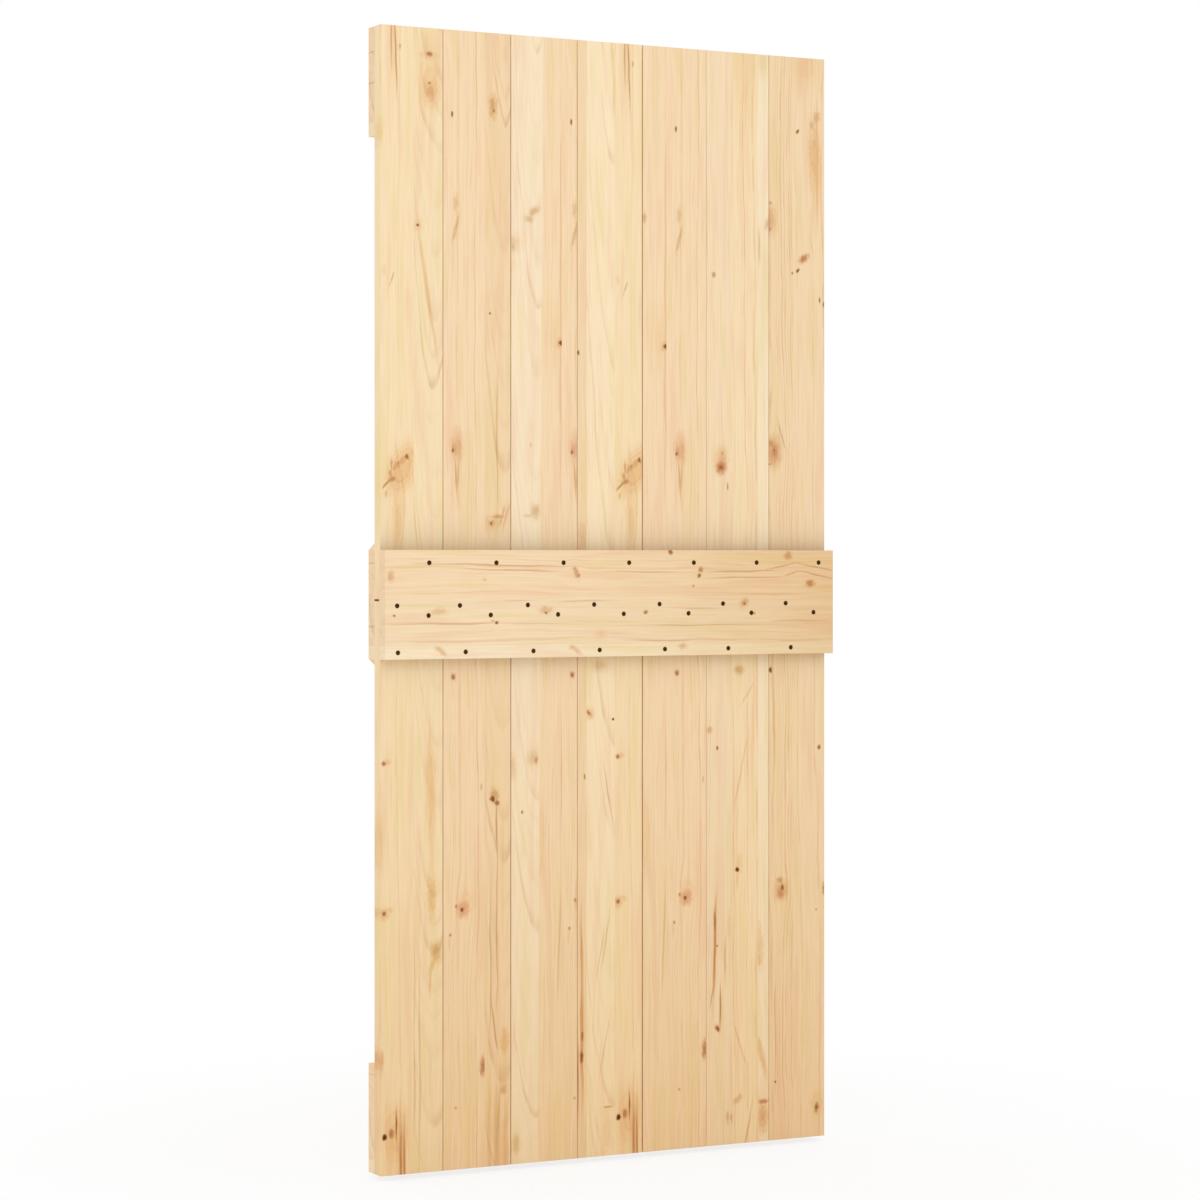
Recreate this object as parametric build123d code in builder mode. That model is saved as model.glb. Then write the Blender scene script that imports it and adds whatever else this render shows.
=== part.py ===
"""Plank sliding door leaf: seven tongue-and-groove boards held between a back rail and a braced front.

The frame is in millimetres with +Z up. The origin is the middle of the top edge, on the boards' end
grain, half way through their thickness. +X runs along the width. The plain back, with its one
rail, faces -Y, and the front, with three rails and two braces, faces +Y.
"""
import os
from math import sqrt

from build123d import *

# Door and boards
door_height = 2100.0
board_count = 7
board_cover = 138.7
edge_board_width = 125.25
board_thickness = 28.0
board_arris = 0.4
# Open width of each joint between two boards, from the left as seen from the back
joint_gaps = (1.3, 1.6, 1.0, 2.2, 0.6, 0.9)

# Tongue and groove
tongue_length = 7.0
tongue_thickness = 8.0
tongue_side_clearance = 0.2
tongue_end_clearance = 1.0

# Rails and braces
rail_height = 200.0
rail_thickness = 28.0
rail_arris = 1.6
mid_rail_height = 1042.0
back_rail_overhang = 3.0
brace_width = 138.0

# Screws through the back rail and the boards into the front mid rail
screw_diameter = 4.5
screw_head_diameter = 9.0
screw_head_height = 3.0
screw_head_sink = 1.0
screw_bite = 20.0
screw_point_length = 6.0
screw_clearance = 0.1
recess_width = 1.2
recess_span = 4.6
recess_depth = 1.6

# Screw places: the inner two rows start at the margin, the outer two stand further to the right
screw_margin = 20.7
screw_pair_spacing = edge_board_width / 2
outer_row_shift = 11.6
first_board_row_shift = 1.5
top_row_inset = 23.7
bottom_row_inset = 12.7
upper_middle_drop = 2.0
lower_middle_drop = 20.0

# Derived places
boards_width = 2 * edge_board_width + (board_count - 2) * board_cover
boards_left = -boards_width / 2
joints = [boards_left + edge_board_width + board_cover * step for step in range(board_count - 1)]
gaps = [joint_gaps[step % len(joint_gaps)] for step in range(board_count - 1)]
board_lefts = [boards_left] + [joint + gap / 2 for joint, gap in zip(joints, gaps)]
board_rights = [joint - gap / 2 for joint, gap in zip(joints, gaps)] + [-boards_left]
groove_depth = tongue_length + tongue_end_clearance
groove_thickness = tongue_thickness + 2 * tongue_side_clearance
mid_rail_level = mid_rail_height - door_height
top_rail_level = -rail_height / 2
bottom_rail_level = rail_height / 2 - door_height
counterbore_depth = screw_head_sink + screw_head_height
screw_length = rail_thickness - counterbore_depth + board_thickness + screw_bite
screw_hole_radius = screw_diameter / 2 + screw_clearance

# Upright planes that face the back: local x runs along the width and local y runs up
back_of_boards = Plane.XZ.offset(board_thickness / 2)
front_of_boards = Plane.XZ.offset(-board_thickness / 2)
back_of_rail = back_of_boards.offset(rail_thickness)
screw_shoulder = back_of_rail.offset(-counterbore_depth)


def screw_points(board):
    """The four screw centres of one board, counted from 0 at the left, as (across, up)."""
    shift = outer_row_shift if board else first_board_row_shift
    left = board_lefts[board] + screw_margin
    right = left + screw_pair_spacing
    return [
        (right + shift, mid_rail_level + rail_height / 2 - top_row_inset),
        (left, mid_rail_level - upper_middle_drop),
        (right, mid_rail_level - lower_middle_drop),
        (left + shift, mid_rail_level - rail_height / 2 + bottom_row_inset),
    ]


def save(piece, name):
    """Label a finished piece and write it under its own name."""
    piece.part.label = name
    export_step(piece.part, f"parts/{name}.step")


def make_board(board):
    """One upright board: a groove on its left, a tongue on its right, outer edges plain."""
    left = board_lefts[board]
    right = board_rights[board]
    with BuildPart(back_of_boards) as plank:
        with BuildSketch(Plane.XY):
            with Locations((left, 0)):
                Rectangle(right - left, board_thickness, align=(Align.MIN, Align.CENTER))
        extrude(amount=-door_height)
        faces = plank.faces().filter_by(Axis.Y)
        chamfer(faces.edges(), board_arris)
        if board > 0:
            with BuildSketch(Plane.XY):
                with Locations((left, 0)):
                    Rectangle(groove_depth, groove_thickness, align=(Align.MIN, Align.CENTER))
            extrude(amount=-door_height, mode=Mode.SUBTRACT)
        if board < board_count - 1:
            with BuildSketch(Plane.XY):
                with Locations((right, 0)):
                    Rectangle(tongue_length, tongue_thickness, align=(Align.MIN, Align.CENTER))
            extrude(amount=-door_height)
        with Locations(*screw_points(board)):
            Hole(screw_hole_radius, board_thickness)
    save(plank, f"board_{board + 1}")


def make_back_rail(points):
    """The rail across the back, bored and counterbored for every screw."""
    with BuildPart(back_of_rail) as rail:
        with BuildSketch(back_of_boards):
            with Locations((0, mid_rail_level)):
                Rectangle(boards_width + 2 * back_rail_overhang, rail_height)
        extrude(amount=rail_thickness)
        fillet(rail.faces().sort_by(Axis.Y)[0].edges(), rail_arris)
        with Locations(*points):
            CounterBoreHole(
                screw_hole_radius,
                screw_head_diameter / 2 + screw_clearance,
                counterbore_depth,
                rail_thickness,
            )
    save(rail, "back_mid_rail")


def make_front_rail(name, level, points):
    """A rail across the front, as wide as the boards, with blind pilot holes where screws reach it."""
    with BuildPart(front_of_boards) as rail:
        with BuildSketch(front_of_boards):
            with Locations((0, level)):
                Rectangle(boards_width, rail_height)
        extrude(amount=-rail_thickness)
        fillet(rail.faces().sort_by(Axis.Y)[-1].edges(), rail_arris)
        if points:
            with Locations(*points):
                Hole(screw_hole_radius, screw_bite + screw_clearance)
    save(rail, name)


def make_brace(name, start_level, end_level):
    """A slanting brace from the left end of one rail's edge to the right end of another's."""
    rise = abs(end_level - start_level)
    # Length of the brace's level end cut, from its width and the slope between its corners
    reach = sqrt(rise**2 + boards_width**2 - brace_width**2)
    cut = brace_width * (rise * reach - brace_width * boards_width) / (rise**2 - brace_width**2)
    with BuildPart() as brace:
        with BuildSketch(front_of_boards):
            with BuildLine():
                Polyline(
                    (boards_left, start_level),
                    (boards_left + cut, start_level),
                    (-boards_left, end_level),
                    (-boards_left - cut, end_level),
                    close=True,
                )
            make_face()
        extrude(amount=-rail_thickness)
        fillet(brace.faces().sort_by(Axis.Y)[-1].edges(), rail_arris)
    save(brace, name)


def make_screw():
    """One screw with its shoulder at the origin: flat round head with a cross recess, pointed shank."""
    straight = screw_length - screw_point_length
    with BuildPart() as screw:
        with BuildSketch(Plane.XZ):
            with BuildLine():
                Polyline(
                    (0, screw_head_height),
                    (screw_head_diameter / 2, screw_head_height),
                    (screw_head_diameter / 2, 0),
                    (screw_diameter / 2, 0),
                    (screw_diameter / 2, -straight),
                    (0, -screw_length),
                    close=True,
                )
            make_face()
        revolve(axis=Axis.Z)
        with BuildSketch(Plane.XY.offset(screw_head_height)):
            Rectangle(recess_span, recess_width)
            Rectangle(recess_width, recess_span)
        extrude(amount=-recess_depth, mode=Mode.SUBTRACT)
    return screw.part


def make_board_screws(board, screw):
    """The four screws that hold one board, each seated on the shoulder of its counterbore."""
    with BuildPart(screw_shoulder) as screws:
        with Locations(*screw_points(board)):
            add(screw)
    save(screws, f"board_{board + 1}_screws")


os.makedirs("parts", exist_ok=True)

all_points = [point for board in range(board_count) for point in screw_points(board)]
screw_shape = make_screw()
for board_number in range(board_count):
    make_board(board_number)
    make_board_screws(board_number, screw_shape)

make_back_rail(all_points)
make_front_rail("front_top_rail", top_rail_level, [])
make_front_rail("front_mid_rail", mid_rail_level, all_points)
make_front_rail("front_bottom_rail", bottom_rail_level, [])

make_brace(
    "front_upper_brace",
    mid_rail_level + rail_height / 2,
    top_rail_level - rail_height / 2,
)
make_brace(
    "front_lower_brace",
    mid_rail_level - rail_height / 2,
    bottom_rail_level + rail_height / 2,
)
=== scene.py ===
"""Dress the plank sliding door leaf in knotty pine and light it as a product picture.

Every length in the pine's figure is in millimetres, as a joiner reads it: "along" runs with the grain,
"across" runs over the face and "deep" runs through the thickness. Object sizes are in metres.
"""
import math
import random
from typing import NamedTuple

import bpy
from bpy.props import FloatProperty, FloatVectorProperty, PointerProperty
from bpy.types import Operator, Panel, PropertyGroup
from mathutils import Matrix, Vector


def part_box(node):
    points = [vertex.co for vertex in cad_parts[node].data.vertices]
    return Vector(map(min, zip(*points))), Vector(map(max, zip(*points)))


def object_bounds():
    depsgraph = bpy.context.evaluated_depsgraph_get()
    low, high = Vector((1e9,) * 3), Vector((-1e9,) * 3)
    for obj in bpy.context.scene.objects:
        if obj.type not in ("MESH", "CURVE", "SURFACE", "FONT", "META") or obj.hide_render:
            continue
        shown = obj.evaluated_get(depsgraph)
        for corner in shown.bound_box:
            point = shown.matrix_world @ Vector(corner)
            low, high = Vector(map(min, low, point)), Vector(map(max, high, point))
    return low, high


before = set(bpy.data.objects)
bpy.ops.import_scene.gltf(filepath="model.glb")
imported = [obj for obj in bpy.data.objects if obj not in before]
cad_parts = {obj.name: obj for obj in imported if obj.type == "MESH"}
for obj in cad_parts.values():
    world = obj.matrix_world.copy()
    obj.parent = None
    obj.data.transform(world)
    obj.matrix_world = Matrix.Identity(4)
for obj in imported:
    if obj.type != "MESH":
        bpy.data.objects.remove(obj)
CAD_LOW, CAD_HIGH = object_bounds()

bl_info = {
    "name": "Pine Door Leaf",
    "version": (1, 0, 0),
    "blender": (4, 5, 0),
    "location": "View3D > Sidebar > Pine Door",
    "description": "Dresses a plank sliding door leaf in knotty pine and sets its studio",
    "category": "Material",
}

MM = 1000.0
BOARD_NODES = [f"board_{number}" for number in range(1, 8)]
SCREW_NODES = [f"board_{number}_screws" for number in range(1, 8)]
FRONT_RAIL_NODES = ["front_top_rail", "front_mid_rail", "front_bottom_rail"]
BRACE_NODES = ["front_upper_brace", "front_lower_brace"]

# Marks longer than this many times their width are streaks, which follow the grain
STREAK_RATIO = 8.0
# How far a mark's edge wanders, in half widths, and the half width above which it wanders less
RAGGEDNESS = 1.2
RAGGED_WIDTH = 8.0
# How far a knot pushes the rings aside, in its half widths
EYE_PUSH = 0.85
# How far a streak swings from side to side with the grain
STREAK_SWING = 7.0
# Power by which the darker, warmer colour fades along a piece
WARMTH_FADE = 2.2
# How squarely a face is cut across the grain where end grain starts to show, and where it shows in full
END_GRAIN_FROM, END_GRAIN_FULL = 0.6, 0.8
# How deep under a board's face the painted shade beside the back rail reaches, as into a joint
SHADING_DEPTH = 1.0
# Strength of the relief of wood and screws
RELIEF_STRENGTH = 0.6

# Knots on the hidden front: how many a strip has, their half widths as least, most and usual, the reach
# and half width of their streaks, and how much stronger the rings are there
RAIL_KNOTS = 4
BRACE_KNOTS = 5
FRONT_KNOT_SIZES = (2.5, 12.0, 3.5)
FRONT_STREAK_REACH = (60.0, 200.0)
FRONT_STREAK_WIDTH = 1.8
FRONT_RING_BOOST = 0.2

# The stains that colour the wood, and last the painted shade beside the back rail, each named after its
# setting
STAINS = ("Honey", "Yellow", "Rose", "Latewood", "Glow", "Brown", "Dark", "Dust")


class Mark(NamedTuple):
    """One knot or streak: its centre and half sizes, its glow, brown and dark, its slant and its eye.

    Across is measured from the strip's start, and along from the foot or, in a rail or brace, from its
    left end. Slant is how far it leans across for each millimetre along. Eye is how strongly the year
    rings bend round it.
    """

    across: float
    along: float
    half_across: float
    half_along: float
    glow: float = 0.0
    brown: float = 0.0
    dark: float = 0.0
    slant: float = 0.0
    eye: float = 0.0


class Strip(NamedTuple):
    """One glued strip of a piece: where it starts, its tint, how it lay in the log, and its marks.

    Start is measured across the leaf from its left side or, in a rail or brace, across that piece. Ring
    is the width of one year, contrast is how much the rings show, and cut is the place in the endless
    grain pattern that the strip is taken from. Trim is how far past its start its first side is sawn, and
    skew is how far that side leans across for each millimetre along.
    """

    start: float
    tint: str
    pith_across: float
    pith_deep: float
    lean: float
    ring: float
    contrast: float
    cut: float
    marks: list
    trim: float = 0.0
    skew: float = 0.0


def streak(across, low, high, half_width, glow=0.0, brown=0.0, dark=0.0, slant=0.0):
    """A long thin mark along the grain, given by its two ends and by where its middle stands."""
    return Mark(across, (low + high) / 2, half_width, (high - low) / 2, glow, brown, dark, slant)


# Strips that come in more than one board

BRANCH_STRIP = Strip(1.5, "straw", -90, 35, lean=0, ring=6.5, contrast=0.5, cut=5, marks=[
    streak(20, 2012, 2130, 1.8, 0.2, 0.3, 0.4),
    streak(29, 1975, 2130, 2, 0.2, 0.3, 0.55, slant=-0.04),
    streak(25, 1980, 2140, 9, 0.3),
    Mark(37, 2062, 2.5, 6, 0.3, 0.4, 0.2),
    Mark(21, 1637, 2.5, 15, 0, 0.1, 0.35, slant=0.35),
    Mark(5, 1652, 4, 10, 0.2, 0.15),
    Mark(42, 1290, 28, 44, 0.9, 0.1, slant=0.35, eye=0.5),
    Mark(34, 1270, 22, 26, 0.7),
    Mark(34, 1195, 12, 65, 0.55),
    Mark(40, 1303, 9, 20, 0.4, 0.4, 0.1, slant=1.1),
    Mark(51, 1312, 4, 6, 0.3, 0.5, 1, slant=-0.3),
    Mark(33, 1300, 3, 8, 0.2, 0.5, 0.25, slant=0.6),
    Mark(27, 1297, 2, 9, 0.2, 0.5, 0.25, slant=0.3),
    Mark(20, 1297, 2, 12, 0.1, 0.5, 0.3),
    Mark(21, 1271, 8, 6, 0.4, 0.8, 0.4),
    Mark(18, 1280, 4, 10, 0.3, 0.6, 0.2),
    Mark(11, 1264, 3.5, 10, 0.2, 0.4, 0.5, slant=0.9),
    Mark(9, 1245, 2.2, 7, 0, 0.2, 0.25),
    Mark(5, 752, 4.5, 4.5, 0.5, 0.8, 0.6, eye=0.7),
    Mark(12, 754, 8, 5, 0.4, 0.2),
    Mark(5, 478, 4.6, 5, 0.5, 0.8, 0.7, eye=0.7),
    Mark(5, 477, 9, 10, 0.4, 0.35),
    Mark(14, 484, 9, 5, 0.4, 0.15),
    Mark(7, 71, 6, 5.8, 0.6, 0.8, 2.4, eye=0.7),
    Mark(20, 76, 7, 9, 0.7, 0.6, 0.45),
    Mark(30, 70, 24, 50, 0.6),
    streak(30, 58, 124, 1.8, 0.4, 0.8, 0.8),
    streak(39, -60, 112, 3.6, 1, 0.6, 0.3),
    streak(46, -60, 104, 2.6, 0.9, 0.6, 0.3),
])
ROSY_STRIP = Strip(126, "blush", -75, 90, lean=0.004, ring=6, contrast=0.8, cut=9, marks=[
    Mark(17.5, 1945, 2.4, 7, 0.1, 0.2, 1.7),
    Mark(25, 1780, 6, 19, 0.2, 0.1, 0.16),
    Mark(24, 1732, 4, 30, 0.2, 0.2, 0.18, slant=0.25),
    Mark(28, 1334, 12, 28, 0.3, 0.4, eye=0.6),
    Mark(23, 1330, 7, 18, 0.2, 0.6, 0.06),
    Mark(19, 1325, 3.4, 6, 0.3, 0.8, 0.9),
    streak(26, 1238, 1316, 2.4, 0.4, 0.5, 0.1, slant=-0.06),
    streak(29, 1240, 1310, 2, 0.3, 0.3, 0.1, slant=0.06),
    Mark(20, 907, 4.6, 6.5, 0.4, 0.9, 0.8, eye=0.7),
    Mark(40, 479, 12, 14, 0.5, 0.8, eye=0.8),
    Mark(38, 479, 3.8, 5, 0.3, 0.8, 1.2),
    Mark(26, 485, 3.2, 5, 0.1, 0.3, 0.6),
    Mark(46, 494, 15, 20, 0.4),
    Mark(14, 433, 2.8, 3.5, 0.2, 0.4, 0.6),
    Mark(12, 418, 3, 16, 0.15, 0.2),
    Mark(25, 114, 3.2, 3.2, 0.2, 0.4, 0.35),
    Mark(80, 187, 6, 19, 0.5, 0.7, 0.45, eye=0.6),
    Mark(77, 704, 2.5, 7, 0.1, 0.2, 0.3),
])
RED_LINE_STRIP = Strip(540, "blush", -60, 70, lean=0.003, ring=6, contrast=0.45, cut=13, marks=[
    Mark(52, 1530, 4.8, 5.2, 0.9, 0.9, 1.4, eye=0.8),
    Mark(52, 1530, 10, 11, 0.7, 0.4),
    Mark(35, 1545, 26, 55, 0.25),
    streak(51, 1340, 1960, 1.9, 0.35, 0.22),
    streak(54, 1532, 1630, 1.6, 0.2, 0.3, 0.2),
    streak(53, 620, 810, 2.2, 0, 0.15, 0.18),
    streak(47, 280, 540, 2.4, 0.1, 0.1, 0.18, slant=0.03),
    Mark(8, 600, 9, 80, 0.4),
    Mark(6, 1772, 4, 11, 0.2, 0.2, 0.2),
])

# Strips that come in one board only

EYE_STRIP = Strip(66, "cream", 44, 165, lean=-0.050, ring=4, contrast=0.7, cut=17, marks=[
    Mark(32, 2052, 7, 4.5, 0.6, 0.9, 0.5),
    Mark(31, 2050, 20, 7, 0.5, 0.25),
    Mark(34, 1984, 16, 22, 0.8, 0.35),
    Mark(33, 2000, 24, 52, 0.6, eye=1),
    Mark(36, 2062, 32, 60, 0.3),
    Mark(32, 1999, 3.2, 3.2, 0.1, 0.3, 0.7),
    Mark(8, 1737, 3.4, 3.4, 0.6, 0.6, 1.3, eye=0.6),
    Mark(8, 1737, 11, 14, 0.35),
    streak(30, 1485, 1715, 3.5, 0.6, 0.1, slant=-0.165),
    Mark(34, 700, 10, 95, 0.65),
    Mark(36, 575, 6, 70, 0.4),
    Mark(36, 508, 8, 38, 1),
    Mark(46, 401, 12, 20, 0.6, 0.05, 0.12),
    Mark(38, 380, 6, 18, 0.7, 0, 0.05, slant=0.4),
    Mark(33, 355, 2.6, 28, 0.9),
    streak(1, -30, 460, 2, 0, 0.1, 0.2),
    streak(12, -30, 420, 2, 0.1, 0.1, 0.22),
])
STREAKY_STRIP = Strip(210, "tan", 40, 165, lean=-0.040, ring=3.5, contrast=0.6, cut=21, marks=[
    Mark(17, 1963, 9.5, 22, 0.8, 0.1, 0.16, eye=0.8),
    Mark(18, 1956, 2.2, 2.8, 0, 0.3, 0.8),
    Mark(16, 1975, 5, 6, 0.1, 0.1, 0.3),
    Mark(22, 1820, 24, 115, 0.2),
    Mark(11, 1580, 2.4, 2.8, 0.1, 0.3, 0.8),
    Mark(13, 1192, 20, 15, 0.5, 0.05, eye=0.7),
    Mark(15, 1191, 8, 8, 0.4, 0.3, 0.2),
    Mark(13, 1191, 3.2, 4, 0.2, 0.5, 0.9),
    Mark(28, 1204, 12, 4, 0.3, 0.5, 0.2),
    Mark(36, 1205, 3, 22, 0.4, 0.3, 0.1, slant=0.3),
    Mark(44, 1205, 3, 26, 0.4, 0.3, slant=0.3),
    streak(26, 1190, 1490, 2.8, 0, 0.1, 0.22),
    Mark(20, 688, 10, 12, 0.6, 0.1, 0.2, eye=0.8),
    Mark(16, 681, 6, 6.5, 0.5, 0.5, 1.4),
    Mark(25, 673, 5, 5.5, 0.4, 0.6, 0.8),
    streak(25, 585, 680, 2.2, 0.2, 0.3, 0.4),
    streak(25, 280, 640, 2, 0, 0.1, 0.35),
    streak(12, 220, 540, 2, 0, 0.1, 0.28),
    streak(20, 200, 320, 1.8, 0, 0.15, 0.45, slant=-0.15),
    Mark(41, 232, 8, 22, 0.75, 0.05),
    Mark(38, 140, 8, 10, 0.5, 0.2, 0.15),
    streak(10, -60, 150, 5, 0.4, 0, 0.08),
    streak(25, -60, 170, 7, 0.5, 0.05, 0.12),
    streak(43, -60, 130, 6, 0.5, 0.1, 0.06),
    streak(27, -40, 190, 1.8, 0.1, 0.1, 0.25, slant=0.05),
])
PALE_STRIP = Strip(262, "pale", 58, 165, lean=-0.050, ring=4, contrast=0.5, cut=25, marks=[
    Mark(6, 1706, 5.5, 10, 0.2, 0.1, 0.22),
    Mark(8, 1712, 14, 18, 0.3, 0.1, 0.05),
    Mark(5, 1672, 8, 13, 0.25),
    Mark(50, 1774, 11, 13, 0.3, 0.1, 0.25, slant=0.5),
    Mark(39, 1759, 13, 8, 0.3, 0.05, 0.18),
    Mark(43, 1338, 2.6, 5, 0.1, 0.1, 0.2),
    Mark(52, 1214, 12, 16, 0.3, 0.05, 0.18),
    Mark(55, 1218, 5, 11, 0.2, 0.1, 0.25, slant=0.3),
    Mark(37, 1206, 12, 4, 0.1, 0.05, 0.15),
    Mark(54, 750, 4.5, 9, 0.2, 0.3, 0.45),
    Mark(46, 754, 14, 16, 0.3, 0, 0.12),
    Mark(6, 735, 9, 24, 0.35, 0.1, 0.03),
    Mark(25, 654, 2.4, 3.8, 0.1, 0.1, 1),
    Mark(12, 38, 10, 19, 0.3, 0.1, 0.12),
])
PITCH_STRIP = Strip(400, "tan", -70, 30, lean=0, ring=5, contrast=0.5, cut=29, marks=[
    Mark(5, 1513, 2.5, 6, 0.3, 0.5, 1.3),
    streak(12, 95, 370, 3.6, 1.1, 0.3, 0.15),
    Mark(12, 190, 4, 15, 0.8, 0.8, 1),
    Mark(13, 228, 3.4, 13, 0.8, 0.5, 0.7),
    streak(4, 80, 220, 1.6, 0.2, 0.4, 0.5),
    streak(11, 290, 450, 2.6, 1.1, 0.2, 0.1),
    Mark(18, 716, 1.8, 6, 0.1, 0.3, 0.7),
    Mark(13, 1165, 10, 28, 0.5, 0.1),
])
CLEAR_STRIP = Strip(422, "ivory", 62, 165, lean=-0.045, ring=4, contrast=0.5, cut=33, marks=[
    Mark(5, 835, 5, 7, 0.6, 0.9, 0.6, slant=-0.5, eye=0.6),
    Mark(6, 835, 9, 11, 0.5, 0.3),
    Mark(56, 823, 3, 3.2, 0, 0, 2.6),
    Mark(44, 50, 10, 46, 0.35),
    Mark(45, 92, 12, 2.4, 0.2, 0.1, 0.45),
    Mark(28, 925, 19, 13, 0.3, 0.05, 0.12),
    streak(46, 605, 760, 1.6, 0, 0.1, 0.35, slant=-0.18),
    streak(41, 330, 485, 1.8, 0, 0.1, 0.22, slant=0.16),
    streak(30, 320, 440, 1.8, 0, 0.1, 0.18, slant=0.18),
    streak(36, 120, 275, 1.8, 0, 0.1, 0.2, slant=0.2),
    streak(59, 1895, 2130, 3.2, 0.5, 0.1, slant=-0.07),
])
ROUND_KNOT_STRIP = Strip(680, "oat", -60, 60, lean=0.005, ring=6.5, contrast=0.4, cut=37, marks=[
    Mark(16, 1671, 5, 6, 0.1, 0.1, 0.55),
    Mark(32, 1301, 12, 13, 0.8, 1.1, 0.2, eye=0.9),
    Mark(33, 1301, 5, 5, 0.2, 0.6, 0.8),
    Mark(33, 1318, 15, 24, 0.7, 0.1),
    Mark(34, 1316, 8, 8, 0.3, 0.4),
    Mark(35, 1328, 3.4, 4, 0.1, 0.2, 0.35),
    Mark(47, 1263, 2, 10, 0, 0, 0.9),
    Mark(7, 798, 8, 7, 0.5, 0.25, 0.1),
    Mark(24, 762, 2.8, 4, 0.1, 0.2, 1.2),
    Mark(24, 383, 2.4, 2.4, 0.2, 0.5, 0.6),
    streak(19, 270, 490, 2.6, 1.2, 0.5, 0.3, slant=0.03),
    Mark(20, 430, 3, 26, 0.8, 0.5, 0.6),
    streak(42, 315, 405, 2.6, 0.6, 0.15, 0.1),
    Mark(50, 415, 4, 30, 0.35),
    Mark(47, 52, 4, 12, 0.2, 0.2, 0.25),
    Mark(55, 50, 3.5, 11, 0.2, 0.2, 0.22),
    Mark(25, 224, 5.5, 7.5, 0.5, 1, 1, slant=-0.3),
    streak(30, 222, 302, 2.6, 0.5, 0.9, 0.4),
    streak(14, 262, 322, 1.6, 0.1, 0.3, 0.4, slant=0.2),
])
WAVY_STRIP = Strip(738, "straw", -45, 80, lean=0.004, ring=5, contrast=0.8, cut=41, marks=[
    Mark(10, 528, 4.5, 4.5, 0.8, 0.9, 2.1, eye=0.8),
    Mark(13, 538, 8, 18, 0.5),
    Mark(28, 2070, 30, 110, 0.3),
    Mark(10, 508, 2.2, 20, 0.4, 0.3),
    Mark(14, 912, 13, 9, 0.5, 0.15, 0.2, eye=1),
    Mark(-4, 905, 4, 7, 0.2, 0.2, 0.2),
    streak(46, 690, 910, 3.6, 0.5, 0.05, slant=0.02),
    Mark(10, 84, 10, 9, 0.2, 0.2, 0.16, slant=1),
    Mark(17, 90, 4, 8, 0.1, 0.2, 0.2),
    streak(32, -40, 80, 2.2, 0.4, 0.25, 0.2, slant=0.2),
    streak(35, 846, 892, 2.4, 0.4, 0.1, 0.05, slant=0.7),
    streak(14, 634, 758, 2, 0.2, 0.1, 0.12, slant=0.24),
    streak(22, 660, 800, 2, 0.2, 0.1, 0.1, slant=0.2),
    streak(14, 147, 245, 2, 0.2, 0.1, 0.14, slant=-0.36),
])
POCKET_STRIP = Strip(794, "pale", -90, 60, lean=0.004, ring=7, contrast=0.3, cut=45, marks=[
    Mark(3, 378, 8, 42, 0.75),
    Mark(3, 352, 5, 16, 0.95, 0.05, 0.05),
    Mark(8, 168, 6, 38, 0.9, 0.1, slant=-0.24),
    Mark(12, 1685, 14, 75, 0.22),
    Mark(10, 2085, 16, 30, 0.3),
    Mark(13, 77, 12, 5, 0.6, 0.6, 0.4),
    Mark(11, 47, 10, 30, 1, 0.3),
    streak(4, 1685, 1770, 2.6, 0.2, 0.2, 0.22),
    Mark(21, 1772, 6, 12, 0.3, 0.3, 0.1),
])
HALF_KNOT_STRIP = Strip(818, "tan", -80, 90, lean=0.004, ring=5.6, contrast=0.75, cut=49, marks=[
    Mark(3, 1782, 13, 27, 0.45, 0.4, 0.06),
    Mark(2, 1763, 6, 5, 0.2, 0.3, 0.3),
    Mark(4, 1814, 4, 5, 0.1, 0.2, 0.3),
    Mark(11, 1333, 17, 29, 0.4, 0.75, 0.04, eye=0.8),
    Mark(13, 1334, 10, 17, 0.2, 1.15, 0.1),
    Mark(5, 1349, 7, 10, 0.2, 0.3, 0.35, slant=-0.5),
    Mark(12, 1336, 3.4, 4, 0.2, 0.7, 0.8),
    Mark(4, 1309, 4, 2.5, 0.1, 0.4, 0.6),
    streak(29, 1335, 1395, 2.4, 0.1, 0.2, 0.25, slant=-0.3),
    Mark(4, 910, 3.5, 6.5, 0.4, 0.5, 1.5),
    Mark(28, 483, 14, 19, 0.6, 0.4, eye=0.8),
    Mark(27, 477, 9, 10, 0.3, 0.9, 0.1),
    Mark(31, 488, 5.2, 6, 0.3, 0.6, 1),
    Mark(25, 503, 9, 6, 0.3, 0.4, 0.25),
    Mark(15, 113, 2.4, 2.8, 0.3, 0.6, 0.9),
    streak(15, 90, 350, 2, 0.1, 0.2, 0.22),
    streak(13, 740, 920, 2.2, 0.4, 0.2),
    Mark(53, 1680, 2.4, 3.4, 0.1, 0.2, 1.3),
])
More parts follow.
